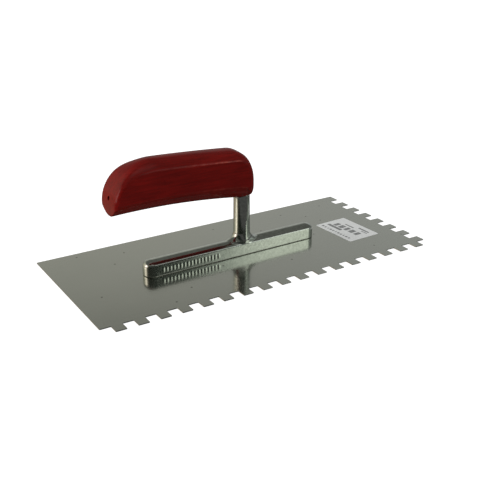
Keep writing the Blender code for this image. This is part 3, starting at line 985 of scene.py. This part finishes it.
# Where the floor's glow gives way to the walls, the walls to the ceiling and the ceiling to its light,
# as the height of a line of sight one metre long.
HORIZON_BAND = (-0.03, 0.03)
CEILING_BAND = (0.36, 0.6)
OVERHEAD_BAND = (0.9, 0.98)
# A small panel in front, which draws a thin bright line along the top edges.
KEY_AZIMUTH = math.radians(32)
KEY_RISE = math.radians(46)
KEY_EDGE = math.radians(15)
KEY_CORE = math.radians(10)
KEY_STRENGTH = 0.55

SUN_TRAVEL = Vector((0.83, -0.48, -0.06))
SUN_ANGLE = math.radians(30)
WHITE = (1, 1, 1, 1)
FLOOR_GREY = (0.8, 0.8, 0.8, 1)
FLOOR_EMISSION = 0.6
FLOOR_DROP = 0.05 * MM
SENSOR_WIDTH = 36
CLIP_START = 0.01


def dimmed(shade):
    """A colour as a share of the brightest in the room, which a colour ramp can hold."""
    return tuple(part / BRIGHTEST for part in shade)


class TROWEL_OT_stage(bpy.types.Operator):
    """Makes the pale floor, the soft light and the camera"""

    bl_idname = "trowel.stage"
    bl_label = "Stage"

    def band(self, tree, height, edges, below, above, **settings):
        """One colour below a band of heights and another above it."""
        inputs = {"Value": height, "From Min": edges[0], "From Max": edges[1]}
        share = add(tree, "MapRange", inputs, **settings)
        return add(tree, "Mix", {0: share, 6: below, 7: above}, out=2, data_type="RGBA")

    def room(self, world, settings):
        """Plain white light, and for mirrors only a dim room with a few soft panels."""
        world.use_nodes = True
        tree = world.node_tree
        tree.nodes.clear()
        direction = add(tree, "TexCoord", out="Generated")
        parts = add(tree, "SeparateXYZ", {0: direction}).node.outputs
        back = add(tree, "Math", {0: parts[1], 1: -1.0}, operation="MULTIPLY")
        azimuth = add(tree, "Math", {0: parts[0], 1: back}, operation="ARCTAN2")
        round_share = add(tree, "MapRange", {"Value": azimuth, "From Min": -math.pi, "From Max": math.pi})
        panels, glow = (
            add(
                tree, "ValToRGB", {0: round_share},
                stops=[((angle + 180) / 360, dimmed(shade)) for angle, *shade in stops],
            )
            for stops in (ROOM, FLOOR_GLOW)
        )
        dim, bright = ((*dimmed(shade), 1) for shade in (CEILING, OVERHEAD))
        walls = self.band(tree, parts[2], HORIZON_BAND, glow, panels)
        top = self.band(tree, parts[2], OVERHEAD_BAND, dim, bright)
        seen = self.band(tree, parts[2], CEILING_BAND, walls, top, interpolation_type="SMOOTHSTEP")
        level = math.cos(KEY_RISE)
        towards = (math.sin(KEY_AZIMUTH) * level, -math.cos(KEY_AZIMUTH) * level, math.sin(KEY_RISE))
        near = add(tree, "VectorMath", {0: direction, 1: towards}, out=1, operation="DOT_PRODUCT")
        key = add(
            tree, "MapRange",
            {"Value": near, "From Min": math.cos(KEY_EDGE), "From Max": math.cos(KEY_CORE),
             "To Max": KEY_STRENGTH / BRIGHTEST},
        )
        lit = add(tree, "VectorMath", {0: seen, 1: key}, operation="ADD")
        mirror = add(tree, "Background", {0: lit, 1: BRIGHTEST})
        fill = add(
            tree, "Math", {0: parts[2], 1: settings.fill_tilt, 2: settings.fill}, operation="MULTIPLY_ADD"
        )
        plain = add(tree, "Background", {0: WHITE, 1: fill})
        paper = add(tree, "Background", {0: WHITE, 1: 1.0})
        ray = add(tree, "LightPath").node.outputs
        light = add(tree, "MixShader", {0: ray["Is Glossy Ray"], 1: plain, 2: mirror})
        shown = add(tree, "MixShader", {0: ray["Is Camera Ray"], 1: light, 2: paper})
        output = tree.nodes.new("ShaderNodeOutputWorld")
        tree.links.new(shown, output.inputs["Surface"])

    def floor(self, side):
        """A plain pale floor that leaves the mirror of the metal, and the light, to the room."""
        bm = bmesh.new()
        bmesh.ops.create_grid(bm, x_segments=1, y_segments=1, size=side / 2)
        floor = new_object("floor", bm)
        material, tree, shader = new_material(
            "pale_studio_floor", Base_Color=FLOOR_GREY, Roughness=1.0, Specular_IOR_Level=0.0,
            Emission_Color=WHITE, Emission_Strength=FLOOR_EMISSION,
        )
        # From below the floor is clear, so that the underside of the blade can be seen.
        below = add(tree, "NewGeometry", out="Backfacing")
        clear = add(tree, "BsdfTransparent")
        shown = add(tree, "MixShader", {0: below, 1: shader.outputs[0], 2: clear})
        tree.links.new(shown, tree.nodes["Material Output"].inputs["Surface"])
        floor.data.materials.append(material)
        floor.location.z = -FLOOR_DROP
        floor.visible_glossy = False
        floor.visible_diffuse = False
        floor.visible_shadow = False

    def execute(self, context):
        scene = context.scene
        settings = scene.trowel_stage
        scene.view_settings.view_transform = "Standard"
        self.floor(settings.floor_side)

        sun = bpy.data.lights.new("soft_light", "SUN")
        sun.energy = settings.light
        sun.angle = SUN_ANGLE
        lamp = bpy.data.objects.new("soft_light", sun)
        scene.collection.objects.link(lamp)
        lamp.rotation_euler = SUN_TRAVEL.to_track_quat("-Z", "Y").to_euler()
        lamp.visible_glossy = False

        scene.world = bpy.data.worlds.new("studio")
        self.room(scene.world, settings)

        data = bpy.data.cameras.new("camera")
        data.lens = settings.lens
        data.sensor_width = SENSOR_WIDTH
        data.clip_start = CLIP_START
        camera = bpy.data.objects.new("camera", data)
        scene.collection.objects.link(camera)
        camera.location = settings.camera_place
        camera.rotation_euler = settings.camera_turn
        scene.camera = camera
        return {"FINISHED"}


class TROWEL_PT_panel(bpy.types.Panel):
    """Lists the trowel's pieces and their settings"""

    bl_idname = "TROWEL_PT_panel"
    bl_label = "Notched Trowel"
    bl_space_type = "VIEW_3D"
    bl_region_type = "UI"
    bl_category = "Trowel"

    def draw(self, context):
        for cls, group in OPERATORS.items():
            column = self.layout.column()
            column.operator(cls.bl_idname)
            if group:
                settings = getattr(context.scene, group)
                for name in settings.bl_rna.properties.keys():
                    if name not in ("rna_type", "name"):
                        column.prop(settings, name)


# The settings groups, and the operators in the order they run, each with its group.
GROUPS = {
    "trowel_blade": BladeSettings,
    "trowel_casting": CastingSettings,
    "trowel_handle": HandleSettings,
    "trowel_label": LabelSettings,
    "trowel_stage": StageSettings,
}
OPERATORS = {
    TROWEL_OT_stage: "trowel_stage",
    TROWEL_OT_blade: "trowel_blade",
    TROWEL_OT_handle: "trowel_handle",
    TROWEL_OT_casting: "trowel_casting",
    TROWEL_OT_pin: None,
    TROWEL_OT_rivets: None,
    TROWEL_OT_label: "trowel_label",
}
CLASSES = (*GROUPS.values(), *OPERATORS, TROWEL_PT_panel)


def register():
    for cls in CLASSES:
        bpy.utils.register_class(cls)
    for name, group in GROUPS.items():
        setattr(bpy.types.Scene, name, bpy.props.PointerProperty(type=group))


def unregister():
    for name in GROUPS:
        delattr(bpy.types.Scene, name)
    for cls in reversed(CLASSES):
        bpy.utils.unregister_class(cls)


def main():
    register()
    bpy.ops.trowel.stage()
    bpy.ops.trowel.blade()
    bpy.ops.trowel.handle()
    bpy.ops.trowel.casting()
    bpy.ops.trowel.pin()
    bpy.ops.trowel.rivets()
    bpy.ops.trowel.label()


if __name__ == "__main__":
    main()
